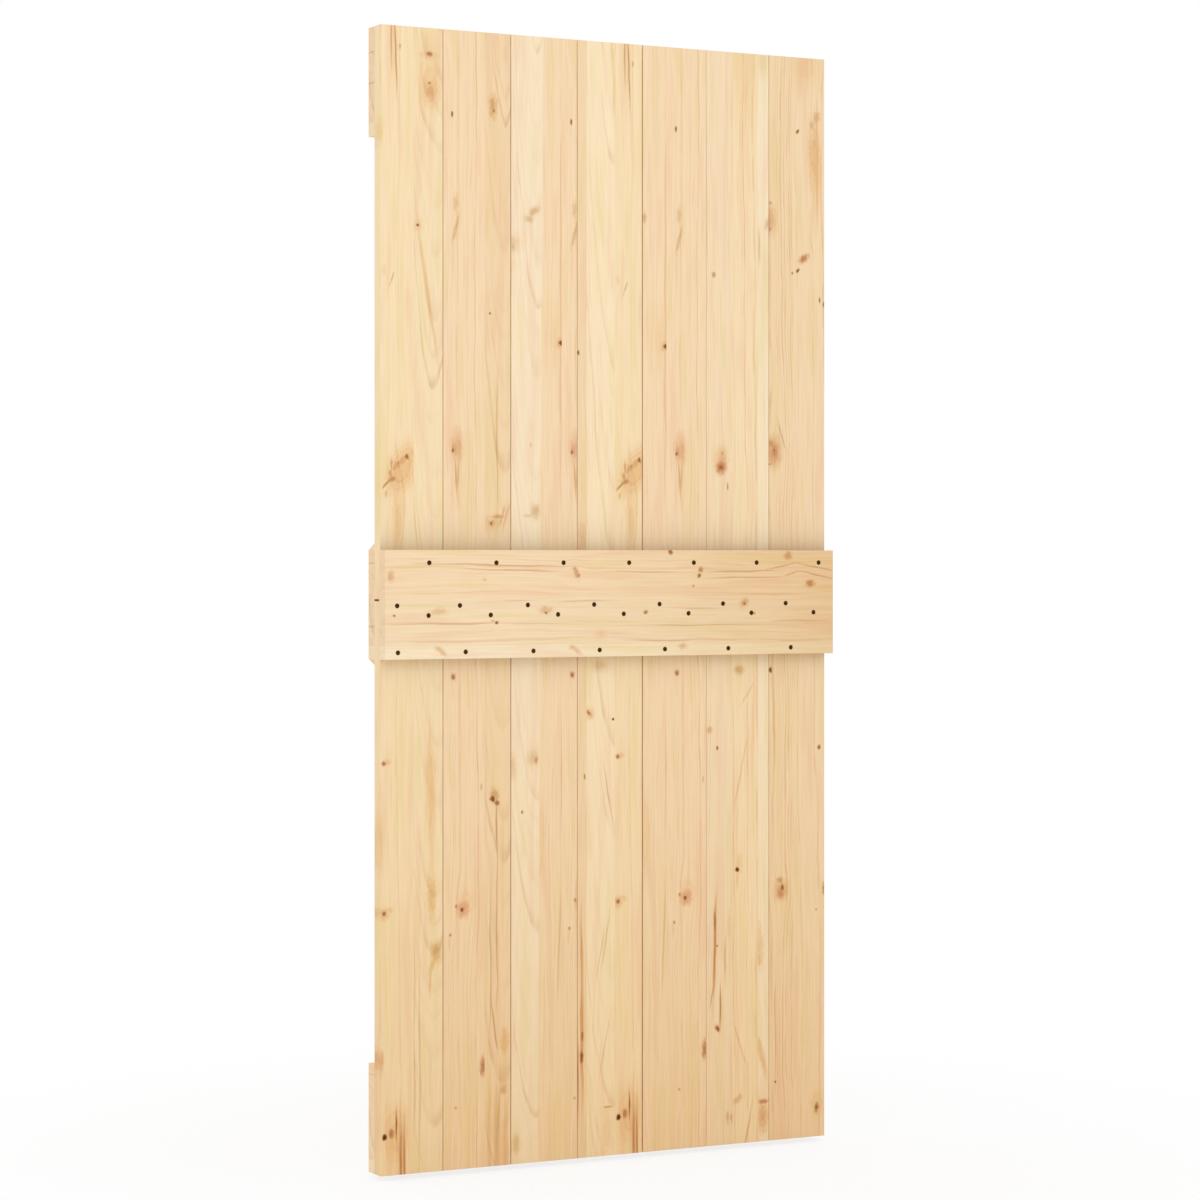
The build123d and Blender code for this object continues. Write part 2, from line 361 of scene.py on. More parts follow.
WARM_EDGE_STRIP = Strip(872, "clay", 88, 70, lean=-0.006, ring=5.4, contrast=0.65, cut=53, marks=[
    Mark(11, 1956, 3.4, 5, 0.1, 0.2, 1.3, slant=0.4),
    Mark(53, 1985, 8, 11, 0.5, 0.35, 0.08),
    Mark(43, 1969, 6, 9, 0.2, 0.1, 0.2),
    Mark(49, 1910, 13, 62, 0.85),
    streak(55, 1780, 2010, 2.8, 0.95, 0.05),
    streak(47, 1770, 1940, 2.4, 0.5, 0.05),
    Mark(30, 2085, 40, 50, 0.3),
    Mark(25, 1709, 9, 9, 0.6, 0.9, 0.35, slant=0.6, eye=0.6),
    Mark(11, 1685, 4, 5, 0.3, 0.7, 1.5, slant=0.5),
    Mark(-1, 1680, 2.4, 3.4, 0.1, 0.2, 1.3),
    Mark(61, 1630, 2.8, 6, 0.2, 0.3, 1),
    Mark(70, 1622, 3, 6, 0.2, 0.3, 1),
    Mark(60, 758, 3.8, 5, 0.5, 0.5, 1, eye=0.6),
    Mark(53, 442, 2.2, 2.5, 0.1, 0.3, 1),
    Mark(70, 483, 4, 13, 0.3, 0.3, 0.5),
    Mark(54, 56, 5, 11, 0.5, 0.5, 0.9, eye=0.6),
    Mark(55, 62, 12, 24, 0.5),
])

# Marks on the leaf's left edge, added to the first board's first strip

LEFT_EDGE_MARKS = [
    Mark(0, 210, 5, 18, 0.5, 0.4),
    Mark(0, 600, 3, 45, 0.5),
    Mark(0, 1905, 3, 24, 0.5),
    Mark(0, 1050, 14, 2, 0, 0.6, 3),
]

# The glued strips of each board, from the left as seen from the back

BOARD_STRIPS = {
    "board_1": [BRANCH_STRIP._replace(marks=BRANCH_STRIP.marks + LEFT_EDGE_MARKS), EYE_STRIP],
    "board_2": [ROSY_STRIP, STREAKY_STRIP],
    "board_3": [
        PALE_STRIP,
        RED_LINE_STRIP._replace(start=317, trim=2.7, skew=0.0054),
        ROSY_STRIP._replace(start=372, trim=-2),
    ],
    "board_4": [PITCH_STRIP, CLEAR_STRIP, BRANCH_STRIP._replace(start=483.5, trim=-1.5)],
    "board_5": [RED_LINE_STRIP, ROSY_STRIP._replace(start=596, trim=-3)],
    "board_6": [ROUND_KNOT_STRIP, WAVY_STRIP, POCKET_STRIP],
    "board_7": [HALF_KNOT_STRIP, WARM_EDGE_STRIP],
}

# The back rail's strips, measured up from its lower edge, with their marks along from its left end

BACK_RAIL_STRIPS = [
    Strip(0, "pale", -30, 60, lean=0.002, ring=7, contrast=0.3, cut=57, marks=[
        Mark(16, 110, 7, 14, 0.35, 0.15, 0.14, slant=-0.7),
        Mark(20, 380, 5, 6, 0.3, 0.3, 0.1),
        Mark(14, 388, 7, 13, 0.3, 0.15, 0.1, slant=-0.7),
        Mark(18, 616, 6, 9, 0.2, 0.35, 0.1),
    ]),
    Strip(24, "oat", 88, 90, lean=-0.004, ring=7.5, contrast=0.4, cut=61, marks=[
        Mark(18, 441, 10, 11, 0.3),
        Mark(42, 224, 3.2, 4, 0.3, 0.6, 1.1, eye=0.6),
        Mark(45, 216, 3, 6, 0, 0.1, 0.25),
        Mark(56, 18, 2.6, 3, 0.2, 0.3, 0.9),
        Mark(63, 108, 7, 18, 0.35, 0.2, 0.04),
        Mark(64, 325, 8, 16, 0.35, 0.1, 0.15),
        Mark(59, 326, 3.4, 4.5, 0.2, 0.3, 0.8),
        Mark(59, 536, 4, 4.5, 0.3, 0.3, 0.8),
        Mark(76, 751, 9, 9, 0.5, 0.3, 0.15, slant=0.3, eye=0.7),
        Mark(74, 751, 3.4, 4, 0.2, 0.5, 0.9),
        Mark(55, 773, 3, 3, 0.1, 0.4, 0.5),
        streak(6, 430, 740, 1.6, 0, 0.1, 0.15),
        streak(41, 0, 260, 1.8, 0.3, 0.3, 0.15),
        streak(40, 200, 420, 1.6, 0, 0.1, 0.15),
        streak(34, 490, 820, 1.8, 0, 0.1, 0.3),
        streak(40, 790, 960, 1.6, 0.1, 0.1, 0.2),
        streak(66, 560, 700, 1.6, 0, 0.1, 0.2),
        streak(81, 330, 480, 1.6, 0, 0.1, 0.2),
        streak(82, 225, 300, 1.6, 0, 0.1, 0.15),
    ]),
    Strip(112, "blush", 190, 60, lean=0.003, ring=6.5, contrast=0.4, cut=65, marks=[
        Mark(40, 11, 11, 7, 0.35, 0.2, 0.15),
        Mark(46, 389, 11, 7, 0.4, 0.2, 0.28, slant=-1, eye=0.5),
        Mark(40, 394, 5, 4, 0.2, 0.3, 0.5),
        Mark(54, 386, 5, 4.5, 0.2, 0.2, 0.35),
        Mark(33, 200, 3, 4, 0.2, 0.3, 0.1),
        Mark(50, 655, 6, 6, 0.4, 0.5, 0.5, slant=0.2, eye=0.8),
        Mark(40, 652, 5, 4.5, 0.3, 0.6, 1),
        Mark(20, 639, 3, 3, 0.1, 0.2, 0.5),
        Mark(24, 898, 7, 11, 0.6, 0.7, 0.3, eye=0.7),
        Mark(78, 848, 8, 9, 0.4, 0.4, 0.2),
        Mark(84, 590, 5, 6, 0.3, 0.6, 0.9),
        streak(60, 60, 400, 1.8, 0.1, 0.2, 0.25, slant=-0.02),
        streak(51, 110, 385, 1.8, 0.1, 0.2, 0.28, slant=-0.035),
        streak(47, 400, 655, 1.6, 0, 0.15, 0.25, slant=-0.01),
        streak(48, 655, 830, 1.8, 0.1, 0.2, 0.35, slant=0.01),
        streak(36, 655, 850, 1.6, 0.1, 0.2, 0.25, slant=0.01),
        streak(57, 795, 870, 1.8, 0.1, 0.2, 0.3, slant=0.2),
        streak(55, 858, 965, 1.8, 0.1, 0.2, 0.3, slant=-0.2),
        streak(42, 835, 875, 1.6, 0.1, 0.2, 0.25, slant=0.25),
        streak(40, 864, 965, 1.6, 0.1, 0.2, 0.28, slant=-0.18),
        streak(4, 700, 900, 1.6, 0, 0.1, 0.18),
    ]),
]

# The strips of a brace, measured from its long edge on the left

BRACE_STRIPS = [
    Strip(0, "straw", -30, 60, lean=0.006, ring=6, contrast=0.5, cut=69, marks=[]),
    Strip(72, "cream", 30, 70, lean=0.010, ring=6, contrast=0.5, cut=73, marks=[]),
]


class PineLook(PropertyGroup):
    """Colours and figure of the planed, unfinished pine."""

    pale: FloatVectorProperty(
        name="Pale", description="Whitest sapwood strips", subtype="COLOR", default=(0.917, 0.754, 0.526))
    ivory: FloatVectorProperty(
        name="Ivory", description="Clear sapwood strips", subtype="COLOR", default=(0.930, 0.757, 0.507))
    cream: FloatVectorProperty(
        name="Cream", description="Light sapwood strips", subtype="COLOR", default=(0.903, 0.721, 0.464))
    oat: FloatVectorProperty(
        name="Oat", description="Greyish sapwood strips", subtype="COLOR", default=(0.893, 0.702, 0.467))
    straw: FloatVectorProperty(
        name="Straw", description="Yellowish strips", subtype="COLOR", default=(0.914, 0.720, 0.459))
    blush: FloatVectorProperty(
        name="Blush", description="Rosy strips", subtype="COLOR", default=(0.902, 0.687, 0.447))
    clay: FloatVectorProperty(
        name="Clay", description="Darker rosy strips", subtype="COLOR", default=(0.886, 0.675, 0.433))
    tan: FloatVectorProperty(
        name="Tan", description="Darker heartwood strips", subtype="COLOR", default=(0.877, 0.662, 0.413))
    latewood: FloatVectorProperty(
        name="Latewood", description="Multiplies the tint in the dark part of a year ring",
        subtype="COLOR", default=(0.80, 0.665, 0.575))
    honey: FloatVectorProperty(
        name="Honey", description="Multiplies the tint where the colour is darker and warmer, as at the foot",
        subtype="COLOR", default=(0.88, 0.785, 0.65))
    yellow: FloatVectorProperty(
        name="Yellow", description="Multiplies the tint in yellow bands", subtype="COLOR",
        default=(0.955, 0.958, 0.845))
    rose: FloatVectorProperty(
        name="Rose", description="Multiplies the tint in rosy bands", subtype="COLOR",
        default=(0.97, 0.91, 0.88))
    glow: FloatVectorProperty(
        name="Glow", description="Multiplies the tint in the warm wood round a knot",
        subtype="COLOR", default=(0.91, 0.765, 0.575))
    brown: FloatVectorProperty(
        name="Brown", description="Multiplies the tint in the red-brown wood of knots and streaks",
        subtype="COLOR", default=(0.81, 0.57, 0.51))
    dark: FloatVectorProperty(
        name="Dark", description="Multiplies the tint in the dark bark and hearts of knots",
        subtype="COLOR", default=(0.47, 0.35, 0.22))
    # Painted shade: the soft shadow beside the back rail, painted into the boards' colour
    dust: FloatVectorProperty(
        name="Ledge Dust", description="Multiplies the tint where dust settles beside the back rail",
        subtype="COLOR", default=(0.66, 0.70, 0.75))
    ring_contrast: FloatProperty(
        name="Ring Contrast", description="How much the year rings show", subtype="FACTOR",
        min=0.0, max=2.0, default=1.3)
    band_contrast: FloatProperty(
        name="Band Contrast", description="How much the long tone bands show", subtype="FACTOR",
        min=0.0, max=2.0, default=0.95)
    foot_warmth: FloatProperty(
        name="Foot Warmth", description="How much warmer the boards are at the foot", subtype="FACTOR",
        min=0.0, max=2.0, default=0.74)
    foot_reach: FloatProperty(
        name="Foot Reach", description="Share of the height over which the foot's warmth fades out",
        subtype="FACTOR", min=0.01, max=1.0, default=0.83)
    end_warmth: FloatProperty(
        name="End Warmth", description="How much warmer the back rail is at its right end",
        subtype="FACTOR", min=0.0, max=2.0, default=1.0)
    end_reach: FloatProperty(
        name="End Reach", description="Share of the back rail over which its end's warmth fades out",
        subtype="FACTOR", min=0.01, max=1.0, default=0.9)
    # How far the painted shade beside the back rail reaches
    shading_reach: FloatProperty(
        name="Dust Reach", description="How far dust reaches from the back rail", unit="LENGTH",
        min=0.001, max=0.2, default=0.022)
    roughness: FloatProperty(
        name="Roughness", description="Roughness of the planed face", subtype="FACTOR",
        min=0.0, max=1.0, default=0.6)
    gloss: FloatProperty(
        name="Gloss", description="Specular level of the bare wood", subtype="FACTOR",
        min=0.0, max=1.0, default=0.25)
    relief: FloatProperty(
        name="Relief", description="Height of the raised grain", unit="LENGTH",
        min=0.0, max=0.001, default=0.00015)


class ScrewLook(PropertyGroup):
    """Finish of the sunk screws."""

    coat: FloatVectorProperty(
        name="Coat", description="Dark brown coating", subtype="COLOR", default=(0.075, 0.034, 0.007))
    worn: FloatVectorProperty(
        name="Worn", description="Coating thinned where the driver has rubbed", subtype="COLOR",
        default=(0.12, 0.065, 0.02))
    roughness: FloatProperty(
        name="Roughness", description="Roughness of the whole coating", subtype="FACTOR",
        min=0.0, max=1.0, default=0.7)
    worn_roughness: FloatProperty(
        name="Worn Roughness", description="Roughness where the coating has thinned", subtype="FACTOR",
        min=0.0, max=1.0, default=0.5)
    gloss: FloatProperty(
        name="Gloss", description="Specular level of the coating", subtype="FACTOR",
        min=0.0, max=1.0, default=0.08)
    relief: FloatProperty(
        name="Relief", description="Depth of the coating's pits", unit="LENGTH",
        min=0.0, max=0.001, default=0.00005)


class StudioLook(PropertyGroup):
    """The floor, the lights and the camera."""

    floor: FloatVectorProperty(
        name="Floor", description="Pale floor", subtype="COLOR", default=(0.94, 0.93, 0.92))
    floor_width: FloatProperty(
        name="Floor Width", description="Side of the square floor", unit="LENGTH", min=1.0, default=60.0)
    floor_shade: FloatProperty(
        name="Floor Shade", description="How much of the floor's own shade shows near the leaf",
        subtype="FACTOR", min=0.0, max=1.0, default=0.2)
    dome: FloatProperty(
        name="Dome", description="Strength of the white dome light", min=0.0, max=4.0, default=0.92)
    key: FloatProperty(
        name="Key", description="Power of the soft key light",
        unit="POWER", min=0.0, max=2000.0, default=60.0)
    key_width: FloatProperty(
        name="Key Width", description="Width of the round key light", unit="LENGTH", min=0.1, default=4.0)
    key_place: FloatVectorProperty(
        name="Key Place", description="Where the key light stands, from the middle of the top edge",
        subtype="TRANSLATION", unit="LENGTH", default=(-3.0, -5.0, 2.2))
    floor_gap: FloatProperty(
        name="Floor Gap", description="Room under the hung leaf",
        unit="LENGTH", min=0.0, max=0.1, default=0.01)
    yaw: FloatProperty(
        name="Yaw", description="How far the view is turned to the leaf's left", unit="ROTATION",
        default=math.radians(27.463))
    view_side: FloatProperty(
        name="View Side", description="Camera's distance left of the leaf's middle",
        unit="LENGTH", default=2.930)
    view_back: FloatProperty(
        name="View Distance", description="Camera's distance behind the boards' middle", unit="LENGTH",
        default=5.610)
    view_height: FloatProperty(
        name="View Height", description="Camera's height above the leaf's foot",
        unit="LENGTH", default=1.126)
    lens: FloatProperty(name="Lens", description="Focal length", unit="CAMERA", default=100.43)
    sensor: FloatProperty(name="Sensor", description="Width of the sensor", unit="CAMERA", default=36.0)
    rise: FloatProperty(
        name="Rise", description="Upward shift of the lens, as a share of the picture's width",
        default=-0.0345)


class Wiring:
    """Short ways to add nodes to one shader tree and join them."""

    def __init__(self, tree):
        self.tree = tree

    def node(self, kind, **settings):
        """A new node with these settings."""
        made = self.tree.nodes.new(kind)
        for name, value in settings.items():
            setattr(made, name, value)
        return made

    def feed(self, socket, value):
        """Join an output to a socket, or set the socket's own value."""
        if isinstance(value, bpy.types.NodeSocket):
            self.tree.links.new(value, socket)
        else:
            socket.default_value = value

    def math(self, operation, *values, clamp=False):
        """One sum."""
        made = self.node("ShaderNodeMath", operation=operation, use_clamp=clamp)
        for socket, value in zip(made.inputs, values):
            self.feed(socket, value)
        return made.outputs[0]

    def step(self, value, start, end, low=0.0, high=1.0, kind="SMOOTHSTEP"):
        """A step from low to high as value goes from start to end."""
        made = self.node("ShaderNodeMapRange", interpolation_type=kind)
        for socket, number in zip(made.inputs, (value, start, end, low, high)):
            self.feed(socket, number)
        return made.outputs[0]

    def vector(self, across, along, third):
        """A vector from three numbers."""
        made = self.node("ShaderNodeCombineXYZ")
        for socket, value in zip(made.inputs, (across, along, third)):
            self.feed(socket, value)
        return made.outputs[0]

    def vectors(self, operation, *values):
        """One sum of vectors, as a vector or, for lengths and dot products, as a number."""
        made = self.node("ShaderNodeVectorMath", operation=operation)
        for socket, value in zip(made.inputs, values):
            self.feed(socket, value)
        return made.outputs[1 if operation in ("LENGTH", "DOT_PRODUCT") else 0]

    def noise(self, vector, detail, roughness=0.5):
        """Cloudy noise at a scale of one, from 0 to 1."""
        made = self.node("ShaderNodeTexNoise", noise_dimensions="3D")
        self.feed(made.inputs["Vector"], vector)
        self.feed(made.inputs["Scale"], 1.0)
        self.feed(made.inputs["Detail"], detail)
        self.feed(made.inputs["Roughness"], roughness)
        return made.outputs[0]

    def about(self, noise, spread, middle=0.0):
        """A noise from 0 to 1 turned into a number that is spread evenly about a middle."""
        return self.math("MULTIPLY_ADD", noise, spread, middle - spread / 2)

    def mix(self, factor, first, second, kind="RGBA"):
        """Two numbers, vectors or colours mixed."""
        made = self.node("ShaderNodeMix", data_type=kind)
        place = ("FLOAT", "VECTOR", "RGBA").index(kind)
        self.feed(made.inputs[0], factor)
        self.feed(made.inputs[2 + 2 * place], first)
        self.feed(made.inputs[3 + 2 * place], second)
        return made.outputs[place]

    def stain(self, wood, tint, depth):
        """A colour under a stain: depth 0 leaves it as it is, and depth 1 multiplies it by the tint."""
        return self.vectors("MULTIPLY", wood, self.vectors("POWER", tint, depth))

    def group(self, tree, values):
        """A node group with these inputs, as its outputs."""
        made = self.node("ShaderNodeGroup", node_tree=tree)
        for name, value in values.items():
            self.feed(made.inputs[name], value)
        return made.outputs


def new_group(name, inputs, outputs):
    """An empty node group: inputs and outputs give each socket's name and kind."""
    tree = bpy.data.node_groups.new(name, "ShaderNodeTree")
    for way, listed in (("INPUT", inputs), ("OUTPUT", outputs)):
        for socket, kind in listed.items():
            tree.interface.new_socket(socket, in_out=way, socket_type=f"NodeSocket{kind}")
    wiring = Wiring(tree)
    entry = wiring.node("NodeGroupInput").outputs
    leave = wiring.node("NodeGroupOutput").inputs
    return wiring, entry, leave


def sockets(kind, *names):
    """Sockets of one kind, by name."""
    return {name: kind for name in names}


def mark_group():
    """The glow, the brown and the dark of one knot or streak, ragged at the edge."""
    w, entry, leave = new_group(
        "Grain Mark",
        {
            **sockets("Vector", "Place", "Scale", "Shift", "Strength"),
            **sockets("Float", "Wobble", "Raggedness"),
        },
        sockets("Vector", "Layers"),
    )
    share = w.vectors("MULTIPLY_ADD", entry["Place"], entry["Scale"], entry["Shift"])
    ragged = w.math("MULTIPLY_ADD", entry["Wobble"], entry["Raggedness"], w.vectors("LENGTH", share))
    layers = w.node("ShaderNodeMapRange", data_type="FLOAT_VECTOR", interpolation_type="SMOOTHSTEP")
    # Where glow, brown and dark start to fade and where they end, in half sizes of the mark
    inner, outer = (0.2, 0.15, 0.25), (1.65, 1.55, 1.15)
    values = (ragged, inner, outer, entry["Strength"], (0.0, 0.0, 0.0))
    for socket, value in zip(layers.inputs[6:11], values):
        w.feed(socket, value)
    w.feed(leave["Layers"], layers.outputs[1])
    return w.tree


def eye_group():
    """How far the year rings bend aside round one knot."""
    w, entry, leave = new_group(
        "Ring Eye",
        {**sockets("Vector", "Place", "Scale", "Shift"), **sockets("Float", "Push")},
        sockets("Float", "Bend"),
    )
    share = w.vectors("MULTIPLY_ADD", entry["Place"], entry["Scale"], entry["Shift"])
    # How fast the bend dies away across and along, for each half size squared
    fading = (-0.30, -0.09, 0.0)
    fall = w.vectors("DOT_PRODUCT", w.vectors("MULTIPLY", share, share), fading)
    aside = w.math("MULTIPLY", w.vectors("DOT_PRODUCT", share, (-1.0, 0.0, 0.0)), entry["Push"])
    w.feed(leave["Bend"], w.math("MULTIPLY", aside, w.math("EXPONENT", fall)))
    return w.tree


def ring_group():
    """Year rings round a pith line that leans along the board: pale early wood, then a dark late edge."""
    w, entry, leave = new_group(
        "Year Rings",
        {
            **sockets("Float", "Across", "Deep", "Along", "Bend", "Waver", "Ripple"),
            **sockets("Float", "Pith Across", "Pith Deep", "Lean", "Ring", "Cut"),
        },
        sockets("Float", "Latewood"),
    )
    across = w.math("SUBTRACT", w.math("ADD", entry["Across"], entry["Bend"]), entry["Pith Across"])
    across = w.math("ADD", across, entry["Waver"])
    deep = w.math("ADD", entry["Pith Deep"], entry["Deep"])
    deep = w.math("MULTIPLY_ADD", entry["Along"], entry["Lean"], deep)
    square = w.math("MULTIPLY_ADD", across, across, w.math("MULTIPLY", deep, deep))
    even = w.math("DIVIDE", w.math("SQRT", square), entry["Ring"])

    # Good and bad spells make the years uneven
    spell_pace, spell_years = 0.3, 2.4
    spell = w.node("ShaderNodeTexNoise", noise_dimensions="1D")
    w.feed(spell.inputs["W"], w.math("MULTIPLY_ADD", even, spell_pace, entry["Cut"]))
    w.feed(spell.inputs["Scale"], 1.0)
    w.feed(spell.inputs["Detail"], 1.0)
    rings = w.math("MULTIPLY_ADD", spell.outputs[0], spell_years, even)

    # Late wood darkens through the second half of a year and stops short at its end
    late_start, late_peak = 0.45, 0.88
    share = w.math("FRACT", rings)
    late = w.math("MULTIPLY", w.step(share, late_start, late_peak), w.step(share, late_peak, 1.0, 1.0, 0.0))

    # Most years are faint and a few are strong, and all of them fade in patches
    faintest, rarity = 0.12, 2.5
    most_faded, whole, share_left = 0.34, 0.62, 0.3
    chance = w.node("ShaderNodeTexWhiteNoise", noise_dimensions="1D")
    w.feed(chance.inputs["W"], w.math("ADD", w.math("FLOOR", rings), entry["Cut"]))
    strength = w.math("MULTIPLY_ADD", w.math("POWER", chance.outputs[0], rarity), 1.0 - faintest, faintest)
    patches = w.step(entry["Ripple"], most_faded, whole, share_left, 1.0)
    patchy = w.math("MULTIPLY", strength, patches)
    w.feed(leave["Latewood"], w.math("MULTIPLY", late, patchy))
    return w.tree


def fibre_group():
    """How the grain wavers, its yellow and rosy bands, its fibres, and the raggedness of its marks."""
    w, entry, leave = new_group(
        "Pine Fibre",
        sockets("Float", "Across", "Deep", "Along", "Cut"),
        sockets("Float", "Waver", "Ripple", "Yellow", "Rose", "Fibre", "Strand", "Wobble"),
    )

    # Slow sway and quick ripple of the grain: waves for each millimetre across and along, and their reach
    sway_pace, sway_reach = (0.004, 0.0018, 1.0), 26.0
    ripple_pace, ripple_reach = (0.05, 0.010, 1.0), 10.0
    face = w.vector(entry["Across"], entry["Along"], entry["Cut"])
    sway = w.noise(w.vectors("MULTIPLY", face, sway_pace), 1.5)
    ripple = w.noise(w.vectors("MULTIPLY", face, ripple_pace), 2.0)
    waver = w.math("ADD", w.about(sway, sway_reach), w.about(ripple, ripple_reach))
    w.feed(leave["Waver"], waver)
    w.feed(leave["Ripple"], ripple)

    # Bands, fibres and ragged edges follow part of that: waves for each millimetre across, along and deep
    follow = 0.6
    band_pace, fibre_pace, edge_pace = (0.050, 0.0035, 0.02), (0.42, 0.009, 0.42), (0.16, 0.11, 0.03)
    plain, full_yellow, full_rose = 0.50, 0.68, 0.32
    across = w.math("MULTIPLY_ADD", waver, follow, entry["Across"])
    place = w.vector(across, entry["Along"], entry["Deep"])
    start = w.vector(0.0, 0.0, entry["Cut"])
    band = w.noise(w.vectors("MULTIPLY_ADD", place, band_pace, start), 2.0, 0.6)
    w.feed(leave["Yellow"], w.step(band, plain, full_yellow))
    w.feed(leave["Rose"], w.step(band, plain, full_rose))
    strand = w.noise(w.vectors("MULTIPLY_ADD", place, fibre_pace, start), 2.0, 0.6)
    w.feed(leave["Fibre"], strand)
    w.feed(leave["Strand"], w.about(strand, 1.0))
    wobble = w.noise(w.vectors("MULTIPLY_ADD", place, edge_pace, start), 1.0, 0.6)
    w.feed(leave["Wobble"], w.about(wobble, 1.0))
    return w.tree


def shading_group():
    """Painted shade on the boards' face beside a level rail, standing in for its soft shadow, stronger on
    top of it than under it.
    """
    w, entry, leave = new_group(
        "Ledge Dust",
        sockets("Float", "Along", "Deep", "Low", "High", "Face", "Reach"),
        sockets("Float", "Dust"),
    )
    # How strong the painted shade is against the rail's lower and upper edge
    under, over = 0.42, 0.90
    above = w.math("SUBTRACT", entry["Along"], entry["High"])
    below = w.math("SUBTRACT", entry["Low"], entry["Along"])
    off = w.math("MAXIMUM", above, below)
    thin = w.math("EXPONENT", w.math("MULTIPLY", w.math("DIVIDE", off, entry["Reach"]), -1.0))
    side = w.math("MULTIPLY_ADD", w.math("GREATER_THAN", above, below), over - under, under)
    open_face = w.math("LESS_THAN", entry["Deep"], entry["Face"])
    open_face = w.math("MULTIPLY", w.math("GREATER_THAN", off, 0.0), open_face)
    w.feed(leave["Dust"], w.math("MULTIPLY", w.math("MULTIPLY", thin, side), open_face))
    return w.tree


def pine_group():
    """The colour and roughness of pine, from its rings, bands, fibres and marks, with any painted shade it
    is given.
    """
    w, entry, leave = new_group(
        "Planed Pine",
        {
            **sockets("Color", "Tint", *(f"{stain} Tint" for stain in STAINS)),
            **sockets("Vector", "Mark Layers"),
            **sockets("Float", "Latewood", "Yellow", "Rose", "Fibre", "Warmth", "Dust", "End Grain"),
            **sockets("Float", "Band Contrast", "Roughness"),
        },
        {"Colour": "Color", "Roughness": "Float"},
    )
    layers = w.node("ShaderNodeSeparateXYZ")
    w.feed(layers.inputs[0], entry["Mark Layers"])
    glow, brown, dark = layers.outputs

    # Narrow rings in the warm wood round a knot, and darker end grain, both coloured as late wood
    knot_ring_pace, knot_ring_depth, end_depth = 26.0, 0.35, 0.12
    wave = w.math("SINE", w.math("MULTIPLY", glow, knot_ring_pace))
    arcs = w.math("MULTIPLY", wave, w.math("MULTIPLY", glow, knot_ring_depth))
    late = w.math("ADD", entry["Latewood"], w.math("MAXIMUM", arcs, 0.0))
    late = w.math("MULTIPLY_ADD", entry["End Grain"], end_depth, late)

    # Each stain at its depth, with the fibres showing through knots and in the wood's lightness
    knot_fibre, light_fibre = 0.8, 0.15
    uneven = w.about(entry["Fibre"], knot_fibre, middle=1.0)
    depths = {
        "Honey": entry["Warmth"],
        "Yellow": w.math("MULTIPLY", entry["Yellow"], entry["Band Contrast"]),
        "Rose": w.math("MULTIPLY", entry["Rose"], entry["Band Contrast"]),
        "Latewood": late,
        "Glow": glow,
        "Brown": w.math("MULTIPLY", brown, uneven),
        "Dark": w.math("MULTIPLY", dark, uneven),
        # Painted shade beside the back rail, darkening the wood where its soft shadow falls
        "Dust": entry["Dust"],
    }
    wood = entry["Tint"]
    for stain in STAINS:
        wood = w.stain(wood, entry[f"{stain} Tint"], depths[stain])
    light = w.about(entry["Fibre"], light_fibre, middle=1.0)
    w.feed(leave["Colour"], w.vectors("MULTIPLY", wood, light))

    # Fibres are rough, while late wood and knots take some polish
    fibre_roughness, polish = 0.16, -0.10
    rough = w.math("MULTIPLY_ADD", entry["Fibre"], fibre_roughness, entry["Roughness"])
    rough = w.math("MULTIPLY_ADD", entry["Latewood"], polish, rough)
    w.feed(leave["Roughness"], w.math("MULTIPLY_ADD", brown, polish, rough, clamp=True))
    return w.tree


SHARED_GROUPS = {
    "Grain Mark": mark_group,
    "Ring Eye": eye_group,
    "Year Rings": ring_group,
    "Pine Fibre": fibre_group,
    "Ledge Dust": shading_group,
    "Planed Pine": pine_group,
}


def shared(name):
    """The shared node group of that name, built the first time it is asked for."""
    return bpy.data.node_groups.get(name) or SHARED_GROUPS[name]()


def opaque(colour):
    """A property colour as a socket colour."""
    return (*colour, 1.0)


def fresh_material(name):
    """A new node material, with its wiring and its Principled shader."""
    material = bpy.data.materials.new(name)
    material.use_nodes = True
    w = Wiring(material.node_tree)
    return material, w, material.node_tree.nodes["Principled BSDF"]


class Lie(NamedTuple):
    """How a piece lies: the directions along and across its grain, and the point both are measured from."""

    along: tuple
    across: tuple
    start: tuple


class Warm(NamedTuple):
    """Where along a piece its colour is darkest and warmest, where that has faded out, and how strong it
    is.
    """

    full: float
    none: float
    strength: float


class Ledge(NamedTuple):
    """The edges of a rail that lies across the grain, the face it lies on, and how far the painted shade
    beside it reaches.
    """

    low: float
    high: float
    face: float
    reach: float


def reading(w, place, direction, start):
    """Millimetres from start to the shaded point, measured in one direction."""
    behind = MM * sum(part * point for part, point in zip(direction, start))
    scaled = w.vectors("DOT_PRODUCT", place, [MM * part for part in direction])
    return w.math("SUBTRACT", scaled, behind)


